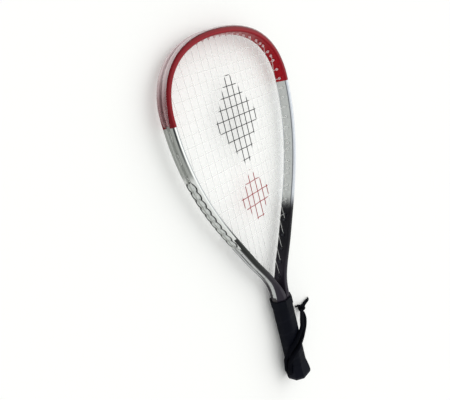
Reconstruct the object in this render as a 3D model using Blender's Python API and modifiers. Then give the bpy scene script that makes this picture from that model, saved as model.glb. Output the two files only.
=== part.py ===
"""Racquetball racket: one carbon tube bent into a hoop and two shafts, strung, gripped and corded.

Axes: +X to the racket's right, +Y from the butt to the tip, +Z out of the front face.
The origin is under the middle of the racket, on the surface that it lies on.
Distances along the racket are measured from the butt end. All sizes are in metres.
"""
import math

import bmesh
import bpy
import numpy as np
from mathutils import Matrix, Vector

# Overall sizes
LENGTH = 0.560
HEAD_WIDTH = 0.2692
WIDEST_AT = 0.463

# Shape of the hoop's centreline: reach of each curve's handles
TIP_REACH = 0.105
SHOULDER_REACH = 0.040
FLANK_REACH = 0.102
ARM_HALF_GAP = 0.050
ARM_AT = 0.235
ARM_SPLAY = math.radians(30)
ARM_REACH_UP = 0.070
ARM_REACH_DOWN = 0.045
THROAT_REACH = 0.040

# Tube: deep and narrow round the head, half of the handle's octagon in the grip
TUBE_WIDTH = 0.0082
TUBE_DEPTH = 0.0204
TUBE_CORNER = 0.0026
SECTION_CHANGE = 0.042
STRAIGHT_BELOW = 0.142
SHAFT_GAP = 0.0006
SHAFT_END = 0.0215

# String groove in the tube's outer wall
GROOVE_WIDTH = 0.0074
GROOVE_DEPTH = 0.0028
GROOVE_END = 0.1475
GROOVE_RAMP = 0.0020

# Strings
STRING_RADIUS = 0.00065
MAIN_PITCH = 0.0123
MAIN_FAN = 0.35
MAIN_SPREAD = 0.00084429
MAIN_MARGIN = 0.0145
CROSS_COUNT = 17
FIRST_CROSS_DROP = 0.0367
CROSS_PITCH = 0.01417
CROSS_SPREAD = 0.00000833
WEAVE_RISE = 0.00165
RUN_OFFSET = 0.0016
RUN_STEP = 0.009
TIE_OFF = 0.007

# Grommet strips and head guard
BARREL_RADIUS = 0.0019
BARREL_REACH = 0.0025
BARREL_SIDES = 8
BORE_RADIUS = 0.0010
BORE_SIDES = 6
HOLE_TILT_LIMIT = math.radians(8)
HOLE_SPACING = 0.0075
STRIP_THICKNESS = 0.0009
GUARD_END = 0.457
GUARD_RAIL = 0.0018
GUARD_EDGE = 0.0010
GUARD_HALF_WIDTH = 0.0084
CHANNEL_HALF_WIDTH = 0.0024
CHANNEL_FLARE = 0.0003
GUARD_TAPER = 0.016

# Handle: half sizes are of the finished grip
GRIP_HALF_WIDTH = 0.0173
GRIP_HALF_DEPTH = 0.0150
GRIP_BEVEL = 0.0090
GRIP_THICKNESS = 0.0016
GRIP_TOP = 0.1435
COLLAR_LENGTH = 0.012
COLLAR_THICKNESS = 0.0005

# Butt cap
CAP_LENGTH = 0.026
CAP_FLARE = 0.0024
CAP_FLARE_AT = 0.006
CAP_ROUND = 0.0025

# Wrist cord
CORD_RADIUS = 0.0028
CORD_SPACING = 0.0064
CORD_DROP = 0.0030
CORD_OFF_GRIP = 0.0005
SOCKET_DEPTH = 0.010
SOCKET_AT = 0.0148
SOCKET_ANGLE = math.radians(30)
KNOT_HALF_SIZE = (0.0072, 0.0064, 0.0056)

# Routes of the two strands from the slot to the knot, and of the two tails from it
UPPER_ON_GRIP = [
    (-1.02, 0.0265, -0.25), (-1.01, 0.035, -0.22), (-1.005, 0.042, -0.14), (-1.0, 0.048, 0.09),
    (-1.0, 0.053, 0.31), (-0.937, 0.0577, 0.50), (-0.79, 0.0625, 0.68), (-0.65, 0.0675, 0.845),
    (-0.38, 0.0735, 0.995), (0.02, 0.0785, 1.0), (0.40, 0.0825, 0.995), (0.80, 0.0853, 0.88),
]
UPPER_BESIDE = [
    (0.0060, 0.0867, 0.0259), (0.0187, 0.0871, 0.0189), (0.0292, 0.0866, 0.0124), (0.0373, 0.0856, 0.0074),
]
LOWER_ON_GRIP = [
    (-1.02, 0.026, 0.11), (-1.0, 0.0335, 0.155), (-0.995, 0.039, 0.31), (-0.932, 0.044, 0.515),
    (-0.796, 0.0488, 0.675), (-0.65, 0.0537, 0.845), (-0.40, 0.058, 0.995), (-0.07, 0.0620, 1.0),
    (0.27, 0.0663, 1.0), (0.583, 0.0700, 0.962),
]
LOWER_BESIDE = [
    (0.0015, 0.0723, 0.0297), (0.0103, 0.0731, 0.0264), (0.0202, 0.0738, 0.0214),
    (0.0301, 0.0753, 0.0159), (0.0369, 0.0771, 0.0104), (0.0413, 0.0794, 0.0057),
]
KNOT_OUT = 0.0449
KNOT_AT = 0.0855
KNOT_HEIGHT = 0.0029
LONG_TAIL = [(0.0526, 0.0856, 0.0016), (0.0582, 0.0863, 0.0004), (0.0652, 0.0863, 0), (0.0715, 0.0866, 0)]
SHORT_TAIL = [(0.0403, 0.0918, 0.0016), (0.0372, 0.0931, 0.0005), (0.0332, 0.0945, 0)]

# Gap between neighbouring pieces
CLEARANCE = 0.0003

# Values that follow from those above
BARREL_FLAT = math.cos(math.pi / BARREL_SIDES)
MID = GRIP_HALF_DEPTH + CAP_FLARE
BUTT = -LENGTH / 2
CORE_HALF_WIDTH = GRIP_HALF_WIDTH - GRIP_THICKNESS - CLEARANCE
CORE_HALF_DEPTH = GRIP_HALF_DEPTH - GRIP_THICKNESS - CLEARANCE
OCTAGON_OFFSET = 2 - math.sqrt(2)
CORE_BEVEL = GRIP_BEVEL - (GRIP_THICKNESS + CLEARANCE) * OCTAGON_OFFSET
SHAFT_WIDTH = CORE_HALF_WIDTH - SHAFT_GAP / 2
SHAFT_CENTRE = SHAFT_GAP / 2 + SHAFT_WIDTH / 2

# Facets of the hoop's three curves
TIP_STEPS = 18
FLANK_STEPS = 14
THROAT_STEPS = 9


def along(distance):
    """Y of a place at a distance from the butt end."""
    return BUTT + distance


def bezier(start, start_handle, end_handle, end, steps):
    """Points on a cubic curve, without its end point."""
    t = (np.arange(steps) / steps)[:, None]
    s = 1 - t
    return s**3 * start + 3 * s * s * t * start_handle + 3 * s * t * t * end_handle + t**3 * end


def right_half():
    """Centreline of the tube from the tip round the right side to the shaft's end."""
    tip = np.array([0, along(LENGTH) - GUARD_RAIL - CLEARANCE - TUBE_WIDTH / 2])
    flank = np.array([HEAD_WIDTH / 2 - TUBE_WIDTH / 2, along(WIDEST_AT)])
    arm = np.array([ARM_HALF_GAP, along(ARM_AT)])
    shaft = np.array([SHAFT_CENTRE, along(STRAIGHT_BELOW)])
    end = np.array([SHAFT_CENTRE, along(SHAFT_END)])
    down_arm = np.array([-math.sin(ARM_SPLAY), -math.cos(ARM_SPLAY)])
    return np.vstack([
        bezier(tip, tip + (TIP_REACH, 0), flank + (0, SHOULDER_REACH), flank, TIP_STEPS),
        bezier(flank, flank - (0, FLANK_REACH), arm - down_arm * ARM_REACH_UP, arm, FLANK_STEPS),
        bezier(arm, arm + down_arm * ARM_REACH_DOWN, shaft + (0, THROAT_REACH), shaft, THROAT_STEPS),
        [shaft, end],
    ])


class Path:
    """A line in the string plane, with the distance along it and its outward normals."""

    def __init__(self, points, normals=None):
        self.points = np.asarray(points)
        steps = np.diff(self.points, axis=0)
        self.length = np.concatenate([[0], np.cumsum(np.hypot(steps[:, 0], steps[:, 1]))])
        if normals is None:
            tangents = np.gradient(self.points, self.length, axis=0)
            normals = np.column_stack([-tangents[:, 1], tangents[:, 0]])
            normals /= np.linalg.norm(normals, axis=1)[:, None]
        self.normals = normals

    def at(self, s):
        """The point and the normal at a distance along the path."""
        point = [np.interp(s, self.length, self.points[:, axis]) for axis in (0, 1)]
        normal = [np.interp(s, self.length, self.normals[:, axis]) for axis in (0, 1)]
        return np.array(point), np.array(normal)

    def part(self, start, end):
        """The stretch between two distances, with this path's own stations in it."""
        inside = self.length[(self.length > start + 1e-5) & (self.length < end - 1e-5)]
        stations = [self.at(s) for s in (start, *inside, end)]
        return Path([point for point, _ in stations], np.array([normal for _, normal in stations]))

    def nearest(self, point):
        """Distance along the path of the place nearest to a point."""
        start = self.points[:-1]
        step = np.diff(self.points, axis=0)
        share = np.sum((point - start) * step, axis=1) / np.sum(step * step, axis=1)
        share = np.clip(share, 0, 1)
        foot = start + share[:, None] * step
        best = np.argmin(np.linalg.norm(foot - point, axis=1))
        return self.length[best] + share[best] * (self.length[best + 1] - self.length[best])


def hoop_path():
    """The whole tube's centreline, from the left shaft's end over the tip to the right one's."""
    right = right_half()
    left = right[:0:-1] * (-1, 1)
    plain = Path(np.vstack([left, right]))
    half = plain.length[-1] / 2
    extra = [right_place(plain, along(GROOVE_END)), right_place(plain, along(GROOVE_END + GROOVE_RAMP))]
    extra += [2 * half - s for s in extra]
    lengths = np.unique(np.round(np.concatenate([plain.length, extra]), 7))
    stations = [plain.at(s) for s in lengths]
    return Path([point for point, _ in stations], np.array([normal for _, normal in stations]))


def right_place(path, y):
    """Distance along the hoop of the place at height y on the right side."""
    widest = np.argmax(path.points[:, 0])
    return np.interp(-y, -path.points[widest:, 1], path.length[widest:])


def shaft_share(y):
    """How far the tube's section has changed to the handle's: 0 in the head, 1 in the grip."""
    t = min(1, max(0, (along(STRAIGHT_BELOW) + SECTION_CHANGE - y) / SECTION_CHANGE))
    return t * t * (3 - 2 * t)


def tube_width(y):
    """Width of the tube in the string plane."""
    return TUBE_WIDTH + (SHAFT_WIDTH - TUBE_WIDTH) * shaft_share(y)


def corner(u, v, side_u, side_v, radius):
    """Three points round one rounded corner of the tube's section."""
    cut = radius * (1 - math.sqrt(0.5))
    return [
        (u, v - side_v * radius),
        (u - side_u * cut, v - side_v * cut),
        (u - side_u * radius, v),
    ]


def tube_section(y):
    """Outline of the tube's section at height y: u outward, v towards the front."""
    half = TUBE_WIDTH / 2
    depth = TUBE_DEPTH / 2
    lip = GROOVE_WIDTH / 2
    open_share = min(1, max(0, (y - along(GROOVE_END)) / GROOVE_RAMP))
    outer_top = corner(half, depth, 1, 1, TUBE_CORNER)
    inner_top = corner(-half, depth, -1, 1, TUBE_CORNER)
    upper = [(half, lip)] + outer_top + inner_top[::-1]
    shaft_half = SHAFT_WIDTH / 2
    flat = CORE_HALF_DEPTH - CORE_BEVEL
    shaft_upper = [
        (shaft_half, lip),
        (shaft_half, flat),
        (shaft_half - CORE_BEVEL / 2, flat + CORE_BEVEL / 2),
        (shaft_half - CORE_BEVEL, CORE_HALF_DEPTH),
        (-shaft_half + CLEARANCE * 2, CORE_HALF_DEPTH),
        (-shaft_half + CLEARANCE, CORE_HALF_DEPTH - CLEARANCE),
        (-shaft_half, CORE_HALF_DEPTH - CLEARANCE * 2),
    ]
    share = shaft_share(y)
    blend = np.array(upper) * (1 - share) + np.array(shaft_upper) * share
    lower = blend[::-1] * (1, -1)
    floor = blend[0, 0] - GROOVE_DEPTH * open_share
    groove = np.array([(floor, -lip + CLEARANCE), (floor, lip - CLEARANCE)])
    return np.vstack([blend, lower, groove])


def run_level(y):
    """How far outside the centreline the strings run along the groove."""
    return tube_width(y) / 2 - GROOVE_DEPTH + STRIP_THICKNESS + 2 * CLEARANCE + STRING_RADIUS


def clear_scene():
    for item in list(bpy.data.objects):
        bpy.data.objects.remove(item)


def new_collection(name):
    made = bpy.data.collections.new(name)
    bpy.context.scene.collection.children.link(made)
    return made


def new_material(name, colour, roughness, metallic=0.0, transmission=0.0):
    made = bpy.data.materials.new(name)
    made.use_nodes = True
    shader = made.node_tree.nodes["Principled BSDF"]
    shader.inputs["Base Color"].default_value = (*colour, 1)
    shader.inputs["Roughness"].default_value = roughness
    shader.inputs["Metallic"].default_value = metallic
    shader.inputs["Transmission Weight"].default_value = transmission
    made.diffuse_color = (*colour, 1)
    return made


def add_object(name, data, collection, material=None):
    made = bpy.data.objects.new(name, data)
    collection.objects.link(made)
    if material:
        data.materials.append(material)
    return made


def add_cutter(name, mesh, cutters):
    """A solid that only cuts or joins others."""
    made = add_object(name, mesh, cutters)
    made.hide_render = True
    made.display_type = "WIRE"
    return made


def add_boolean(target, cutter, operation):
    step = target.modifiers.new(cutter.name, "BOOLEAN")
    step.operation = operation
    step.object = cutter


def mesh_from(shape, name):
    """A mesh of a bmesh shape, faces outward and turned surfaces smooth."""
    bmesh.ops.recalc_face_normals(shape, faces=shape.faces)
    mesh = bpy.data.meshes.new(name)
    shape.to_mesh(mesh)
    shape.free()
    mesh.shade_smooth()
    mesh.set_sharp_from_angle(angle=math.radians(40))
    return mesh


def loft(rings, name, capped=True):
    """A skin over rings of as many points each, closed round, with flat ends if capped."""
    shape = bmesh.new()
    rows = [[shape.verts.new(point) for point in ring] for ring in rings]
    for row, following in zip(rows, rows[1:]):
        for index, vert in enumerate(row):
            after = (index + 1) % len(row)
            shape.faces.new((vert, row[after], following[after], following[index]))
    if capped:
        shape.faces.new(rows[0])
        shape.faces.new(rows[-1])
    return mesh_from(shape, name)


def sweep(path, section, name):
    """A loft of section(y, distance to the nearer end) along a path in the string plane."""
    rings = []
    for point, normal, s in zip(path.points, path.normals, path.length):
        outline = section(point[1], min(s, path.length[-1] - s))
        rings.append([(*(point + normal * u), MID + v) for u, v in outline])
    return loft(rings, name)


def rods(holes, radius, sides, start, finish, name):
    """Many-sided rods along string holes, between two distances from the tube's inner wall."""
    shape = bmesh.new()
    for hole in holes:
        low = start(hole)
        high = finish(hole)
        direction = Vector((*hole.axis, 0))
        middle = Vector((*(hole.inner + hole.axis * (low + high) / 2), MID))
        side = direction.cross(Vector((0, 0, 1)))
        turn = Matrix((Vector((0, 0, 1)), side, direction)).transposed().to_4x4()
        bmesh.ops.create_cone(
            shape, cap_ends=True, segments=sides, radius1=radius, radius2=radius, depth=high - low,
            matrix=Matrix.Translation(middle) @ turn)
    return mesh_from(shape, name)


class Hole:
    """A string hole: its place on the inner wall, its axis and where the string bends."""

    def __init__(self, path, s, pull):
        point, normal = path.at(s)
        across = normal[0] * pull[1] - normal[1] * pull[0]
        tilt = math.atan2(across, normal @ pull)
        tilt = min(HOLE_TILT_LIMIT, max(-HOLE_TILT_LIMIT, tilt))
        cos, sin = math.cos(tilt), math.sin(tilt)
        self.s = s
        self.pull = pull
        self.slant = cos
        self.wall = tube_width(point[1]) / 2
        self.axis = np.array([normal[0] * cos - normal[1] * sin, normal[0] * sin + normal[1] * cos])
        self.inner = point - normal * self.wall
        self.mouth = self.inner - self.axis * (BARREL_REACH + 2 * STRING_RADIUS)

    def to_level(self, level):
        """Distance along the axis from the inner wall to a level outside the centreline."""
        return (self.wall + level) / self.slant

    def exit(self):
        """Where the string leaves the strip's outer face."""
        level = self.wall - GROOVE_DEPTH + STRIP_THICKNESS + CLEARANCE
        return self.inner + self.axis * self.to_level(level)


def hole_on_line(path, pull, miss, last=False):
    """The hole of the right half whose string bends on a line: the first from the tip, or the last."""
    stations = np.linspace(path.length[-1] / 2, path.length[-1], 1200)
    values = [miss(Hole(path, s, pull).mouth) for s in stations]
    found = [index for index in range(len(values) - 1) if values[index] * values[index + 1] <= 0]
    index = found[-1 if last else 0]
    share = values[index] / (values[index] - values[index + 1])
    return Hole(path, stations[index] + (stations[index + 1] - stations[index]) * share, pull)


def main_offset(index):
    """How far a main string lies from the middle at the widest place, counted outward from 0."""
    steps = index + 0.5
    return MAIN_PITCH * steps * (1 + MAIN_SPREAD * steps * steps)


def main_offsets():
    """The main strings of the right half: as many as the hoop is wide enough for."""
    offsets = []
    while main_offset(len(offsets)) < HEAD_WIDTH / 2 - TUBE_WIDTH - MAIN_MARGIN:
        offsets.append(main_offset(len(offsets)))
    return offsets


def main_holes(path):
    """Bottom and top hole of each main string of the right half, from the middle out."""
    holes = []
    for offset in main_offsets():
        lean = np.array([offset * MAIN_FAN, 1.0])

        def miss(point, x=offset):
            return point[0] - x * (1 - MAIN_FAN * (along(WIDEST_AT) - point[1]))

        holes += [hole_on_line(path, -lean, miss, last=True), hole_on_line(path, lean, miss)]
    return holes


def cross_holes(path):
    """Right hole of each cross string, from the tip down."""
    holes = []
    for index in range(CROSS_COUNT):
        y = along(LENGTH) - FIRST_CROSS_DROP - CROSS_PITCH * index - CROSS_SPREAD * index**3
        holes.append(hole_on_line(path, np.array([1.0, 0.0]), lambda point, height=y: point[1] - height))
    return holes


def spaced(path, holes):
    """The same holes, moved apart along the tube where two would be too close."""
    order = np.argsort([hole.s for hole in holes])
    places = np.array([holes[index].s for index in order])
    for _ in range(4):
        short = np.maximum(0, HOLE_SPACING - np.diff(places)) / 2
        places[:-1] -= short
        places[1:] += short
    moved = dict(zip(order, places))
    return [Hole(path, moved[index], hole.pull) for index, hole in enumerate(holes)]


def mirrored(path, hole):
    """The same hole on the left side."""
    return Hole(path, path.length[-1] - hole.s, hole.pull * (-1, 1))


def make_holes(path):
    """End holes of the mains, from left to right, and of the crosses, from the tip down."""
    mains = main_holes(path)
    right = spaced(path, mains + cross_holes(path))
    right_mains = list(zip(right[0:len(mains):2], right[1:len(mains):2]))
    left_mains = [(mirrored(path, bottom), mirrored(path, top)) for bottom, top in right_mains[::-1]]
    crosses = [(mirrored(path, hole), hole) for hole in right[len(mains):]]
    return left_mains + right_mains, crosses


def groove_point(path, s, side):
    """A point of a string that lies in the groove."""
    point, normal = path.at(s)
    return (*(point + normal * run_level(point[1])), MID + side * RUN_OFFSET)


def leave_hole(path, hole, direction, side):
    """The bend from a hole into the groove, and the distance along the path where it ends."""
    s = path.nearest(hole.exit())
    first = groove_point(path, s + direction * 1.5 * STRING_RADIUS, side / 2)
    return [(*hole.exit(), MID), first], s + direction * 3.5 * STRING_RADIUS


def run_between(path, start, end, side):
    """The string outside the hoop, from one hole along the groove to the next."""
    direction = 1 if end.s > start.s else -1
    out, first = leave_hole(path, start, direction, side)
    back, last = leave_hole(path, end, -direction, side)
    steps = max(1, round(abs(last - first) / RUN_STEP))
    middle = [groove_point(path, s, side) for s in np.linspace(first, last, steps + 1)]
    return out + middle + back[::-1]


def tie_off(path, hole, direction, side):
    """The string's end, laid along the groove from its last hole."""
    out, first = leave_hole(path, hole, direction, side)
    last = first + direction * TIE_OFF
    return out + [groove_point(path, first, side), groove_point(path, last, side)]


def flat(point):
    return (*point, MID)


def string_points(path, rows, side, far_turn):
    """One length of string: through each row of points, and along the groove between rows."""
    points = []
    for index, (start, inside, end) in enumerate(rows):
        if index == 0:
            points += tie_off(path, start, -far_turn(start), side)[::-1]
        points += [flat(start.mouth), *inside, flat(end.mouth)]
        if index + 1 < len(rows):
            points += run_between(path, end, rows[index + 1][0], side)
        else:
            points += tie_off(path, end, far_turn(end), side)
    return points


def main_string_points(path, mains):
    """The mains: up, along the groove, down, and so on from left to right."""
    rows = []
    for index, (bottom, top) in enumerate(mains):
        rows.append((bottom, [], top) if index % 2 == 0 else (top, [], bottom))
    return string_points(path, rows, -1, lambda _: 1)


def cross_string_points(path, mains, crosses):
    """The crosses: from side to side, over and under the mains, from the tip down."""
    rows = []
    for index, (left, right) in enumerate(crosses):
        y = left.mouth[1]
        row = []
        for column, (bottom, top) in enumerate(mains):
            share = (y - bottom.mouth[1]) / (top.mouth[1] - bottom.mouth[1])
            if 0 < share < 1:
                x = bottom.mouth[0] + (top.mouth[0] - bottom.mouth[0]) * share
                over = 1 if (index + column) % 2 == 0 else -1
                row.append((x, y, MID + over * WEAVE_RISE))
        rows.append((left, row, right) if index % 2 == 0 else (right, row[::-1], left))
    middle = path.length[-1] / 2
    return string_points(path, rows, 1, lambda hole: 1 if hole.s > middle else -1)


def tube_curve(name, points, radius, resolution, collection, material):
    """A round tube with closed ends along a line of points."""
    curve = bpy.data.curves.new(name, "CURVE")
    curve.dimensions = "3D"
    curve.bevel_depth = radius
    curve.bevel_resolution = resolution
    curve.use_fill_caps = True
    spline = curve.splines.new("POLY")
    spline.points.add(len(points) - 1)
    for spot, point in zip(spline.points, points):
        spot.co = (*point, 1)
    return add_object(name, curve, collection, material)


def make_frame(path, holes, parts, cutters):
    """The carbon tube, drilled for the strings."""
    paint = new_material("frame_paint", (0.45, 0.47, 0.50), 0.3, 0.6)
    frame = add_object("frame", sweep(path, lambda y, _: tube_section(y), "frame"), parts, paint)
    drill = rods(
        holes, BARREL_RADIUS + CLEARANCE / BARREL_FLAT, BARREL_SIDES,
        lambda hole: -BARREL_REACH, lambda hole: hole.to_level(hole.wall + CLEARANCE), "string_drill")
    add_boolean(frame, add_cutter("string_drill", drill, cutters), "DIFFERENCE")


def strip_section(y, _):
    """A flat grommet strip on the groove's floor."""
    low = tube_width(y) / 2 - GROOVE_DEPTH + CLEARANCE
    high = low + STRIP_THICKNESS
    half = GROOVE_WIDTH / 2 - 2 * CLEARANCE
    return [(low, -half), (low, half), (high, half), (high, -half)]


def guard_section(y, from_end):
    """The head guard: a tongue in the groove and two rails over the tube's outer wall."""
    share = min(1, 0.25 + 0.75 * from_end / GUARD_TAPER)
    wall = tube_width(y) / 2
    floor = wall - GROOVE_DEPTH + CLEARANCE
    back = wall + CLEARANCE
    tongue = GROOVE_WIDTH / 2 - 2 * CLEARANCE
    lip = CHANNEL_HALF_WIDTH + CHANNEL_FLARE
    reach = tongue + STRIP_THICKNESS + (GUARD_HALF_WIDTH - tongue - STRIP_THICKNESS) * share
    crest = back + GUARD_EDGE + (GUARD_RAIL - GUARD_EDGE) * share
    edge = back + GUARD_EDGE * share
    half = [
        (floor, tongue),
        (back, tongue),
        (back, reach),
        (edge, reach),
        (crest, (reach + lip) / 2),
        (crest, lip),
        (floor + STRIP_THICKNESS, CHANNEL_HALF_WIDTH),
    ]
    return half + [(u, -v) for u, v in half[::-1]]


def make_strip(name, path, section, holes, material, parts, cutters):
    """A moulded strip with one barrel through the tube for each string hole."""
    strip = add_object(name, sweep(path, section, name), parts, material)
    seat = GROOVE_DEPTH - CLEARANCE - STRIP_THICKNESS / 2
    barrels = rods(
        holes, BARREL_RADIUS, BARREL_SIDES,
        lambda hole: -BARREL_REACH, lambda hole: hole.to_level(hole.wall - seat), name + "_barrels")
    add_boolean(strip, add_cutter(name + "_barrels", barrels, cutters), "UNION")
    bores = rods(
        holes, BORE_RADIUS, BORE_SIDES,
        lambda hole: -2 * BARREL_REACH, lambda hole: hole.to_level(hole.wall), name + "_bores")
    add_boolean(strip, add_cutter(name + "_bores", bores, cutters), "DIFFERENCE")


def make_strips(path, holes, parts, cutters):
    """The head guard over the tip and one strip down each arm."""
    clear = new_material("clear_nylon", (0.80, 0.80, 0.80), 0.35, 0.0, 0.3)
    total = path.length[-1]
    guard_right = right_place(path, along(GUARD_END))
    strip_right = right_place(path, along(GROOVE_END + GROOVE_RAMP + CLEARANCE))
    guard_left = total - guard_right
    strip_left = total - strip_right
    make_strip(
        "head_guard", path.part(guard_left, guard_right), guard_section,
        [hole for hole in holes if guard_left < hole.s < guard_right], clear, parts, cutters)
    make_strip(
        "grommet_strip_left", path.part(strip_left, guard_left - CLEARANCE), strip_section,
        [hole for hole in holes if hole.s < guard_left], clear, parts, cutters)
    make_strip(
        "grommet_strip_right", path.part(guard_right + CLEARANCE, strip_right), strip_section,
        [hole for hole in holes if hole.s > guard_right], clear, parts, cutters)


def octagon(half_width, half_depth, bevel, distance):
    """A racket handle's eight-sided section at a distance from the butt end."""
    upper = [
        (half_width, half_depth - bevel),
        (half_width - bevel, half_depth),
        (bevel - half_width, half_depth),
        (-half_width, half_depth - bevel),
    ]
    around = upper + [(-x, -z) for x, z in upper]
    return [(x, along(distance), MID + z) for x, z in around]


def handle_sleeve(name, offset, thickness, start, finish, parts, material):
    """A thin sleeve round the handle, its inside at an offset from the shafts."""
    bevel = CORE_BEVEL + offset * OCTAGON_OFFSET
    rings = [
        octagon(CORE_HALF_WIDTH + offset, CORE_HALF_DEPTH + offset, bevel, distance)
        for distance in (start, finish)
    ]
    sleeve = add_object(name, loft(rings, name, capped=False), parts, material)
    wall = sleeve.modifiers.new("wall", "SOLIDIFY")
    wall.thickness = thickness
    wall.offset = 1
    wall.use_even_offset = True


def make_grip(parts):
    """The wound grip on the shafts and the rubber collar over its upper end."""
    wrap = new_material("grip_polyurethane", (0.012, 0.014, 0.028), 0.5)
    rubber = new_material("collar_rubber", (0.008, 0.009, 0.014), 0.6)
    handle_sleeve("grip_wrap", CLEARANCE, GRIP_THICKNESS, CAP_LENGTH + CLEARANCE, GRIP_TOP, parts, wrap)
    handle_sleeve(
        "grip_collar", 2 * CLEARANCE + GRIP_THICKNESS, COLLAR_THICKNESS, GRIP_TOP - COLLAR_LENGTH,
        GRIP_TOP, parts, rubber)


def socket_direction():
    """The way that the cord leaves the cap: to the left and up along the handle."""
    return Vector((-math.sin(SOCKET_ANGLE), math.cos(SOCKET_ANGLE), 0))


def socket_point(depth, side=0):
    """A point on the cord socket's middle, or on a strand's, at a depth below the cap's side."""
    mouth = Vector((-GRIP_HALF_WIDTH - CAP_FLARE / 2, along(SOCKET_AT), MID - CORD_DROP))
    return mouth - socket_direction() * depth + Vector((0, 0, side * CORD_SPACING / 2))


def socket_ring(depth):
    """The outline of the slot that both strands lie in."""
    across = socket_direction().cross(Vector((0, 0, 1)))
    radius = CORD_RADIUS + CLEARANCE
    ring = []
    for side, turn in ((1, 0), (-1, math.pi)):
        for step in range(7):
            angle = turn + math.pi * step / 6
            spoke = across * math.cos(angle) + Vector((0, 0, 1)) * math.sin(angle)
            ring.append(socket_point(depth, side) + spoke * radius)
    return ring


def make_butt_cap(parts, cutters):
    """A flared rubber cap over the shafts' ends, with a slot in its left side for the cord."""
    rubber = new_material("cap_rubber", (0.010, 0.011, 0.020), 0.55)
    profile = [
        (0, CAP_FLARE * 0.8 - CAP_ROUND),
        (CAP_ROUND * 0.3, CAP_FLARE * 0.8 - CAP_ROUND * 0.3),
        (CAP_ROUND, CAP_FLARE * 0.8),
        (CAP_FLARE_AT, CAP_FLARE),
        (CAP_FLARE_AT * 2, CAP_FLARE * 0.8),
        (CAP_LENGTH * 0.75, CAP_FLARE * 0.3),
        (CAP_LENGTH, 0),
    ]
    rings = [
        octagon(GRIP_HALF_WIDTH + grow, GRIP_HALF_DEPTH + grow, GRIP_BEVEL, distance)
        for distance, grow in profile
    ]
    cap = add_object("butt_cap", loft(rings, "butt_cap"), parts, rubber)
    bevel = CORE_BEVEL + CLEARANCE * OCTAGON_OFFSET
    pocket_rings = [
        octagon(CORE_HALF_WIDTH + CLEARANCE, CORE_HALF_DEPTH + CLEARANCE, bevel, distance)
        for distance in (SHAFT_END - CLEARANCE, CAP_LENGTH + CLEARANCE)
    ]
    pocket = add_cutter("cap_pocket", loft(pocket_rings, "cap_pocket"), cutters)
    add_boolean(cap, pocket, "DIFFERENCE")
    slot = loft([socket_ring(SOCKET_DEPTH), socket_ring(-SOCKET_DEPTH)], "cord_slot")
    add_boolean(cap, add_cutter("cord_slot", slot, cutters), "DIFFERENCE")


def over_grip(across, distance, up):
    """A cord point by the grip: 1 across or up is a cord's middle lying on that face."""
    off = CORD_RADIUS + CORD_OFF_GRIP
    return Vector((across * (GRIP_HALF_WIDTH + off), along(distance), MID + up * (GRIP_HALF_DEPTH + off)))


def beside_grip(out, distance, height):
    """A cord point right of the grip, at a height over the lowest at which a cord can lie."""
    return Vector((GRIP_HALF_WIDTH + out, along(distance), CORD_RADIUS + CLEARANCE + height))


def make_cord(parts):
    """The wrist cord: two strands from the cap to a knot on the table, and its two tails."""
    braid = new_material("cord_braid", (0.006, 0.006, 0.008), 0.8)
    for name, side, on_grip, beside in (
            ("wrist_cord_upper", -1, UPPER_ON_GRIP, UPPER_BESIDE),
            ("wrist_cord_lower", 1, LOWER_ON_GRIP, LOWER_BESIDE)):
        points = [socket_point(depth, side) for depth in (SOCKET_DEPTH - CLEARANCE, 0, -SOCKET_DEPTH * 0.6)]
        points += [over_grip(*spot) for spot in on_grip]
        points += [beside_grip(*spot) for spot in beside]
        tube_curve(name, points, CORD_RADIUS, 2, parts, braid)
    knot = bmesh.new()
    bmesh.ops.create_uvsphere(knot, u_segments=12, v_segments=8, radius=1)
    place = Matrix.Translation(beside_grip(KNOT_OUT, KNOT_AT, KNOT_HEIGHT))
    bmesh.ops.transform(knot, matrix=place @ Matrix.Diagonal((*KNOT_HALF_SIZE, 1)), verts=knot.verts)
    add_object("cord_knot", mesh_from(knot, "cord_knot"), parts, braid)
    for name, tail in (("cord_tail_long", LONG_TAIL), ("cord_tail_short", SHORT_TAIL)):
        tube_curve(name, [beside_grip(*spot) for spot in tail], CORD_RADIUS, 2, parts, braid)


def main():
    clear_scene()
    parts = new_collection("racquetball_racket")
    cutters = new_collection("cutters")
    path = hoop_path()
    mains, crosses = make_holes(path)
    holes = [hole for pair in mains + crosses for hole in pair]
    make_frame(path, holes, parts, cutters)
    make_strips(path, holes, parts, cutters)
    nylon = new_material("string_nylon", (0.85, 0.85, 0.82), 0.3, 0.0, 0.2)
    tube_curve("main_string", main_string_points(path, mains), STRING_RADIUS, 1, parts, nylon)
    tube_curve("cross_string", cross_string_points(path, mains, crosses), STRING_RADIUS, 1, parts, nylon)
    make_grip(parts)
    make_butt_cap(parts, cutters)
    make_cord(parts)


main()
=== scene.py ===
"""Racquetball racket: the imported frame, dressed piece by piece in the order it is put together."""
import math

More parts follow.
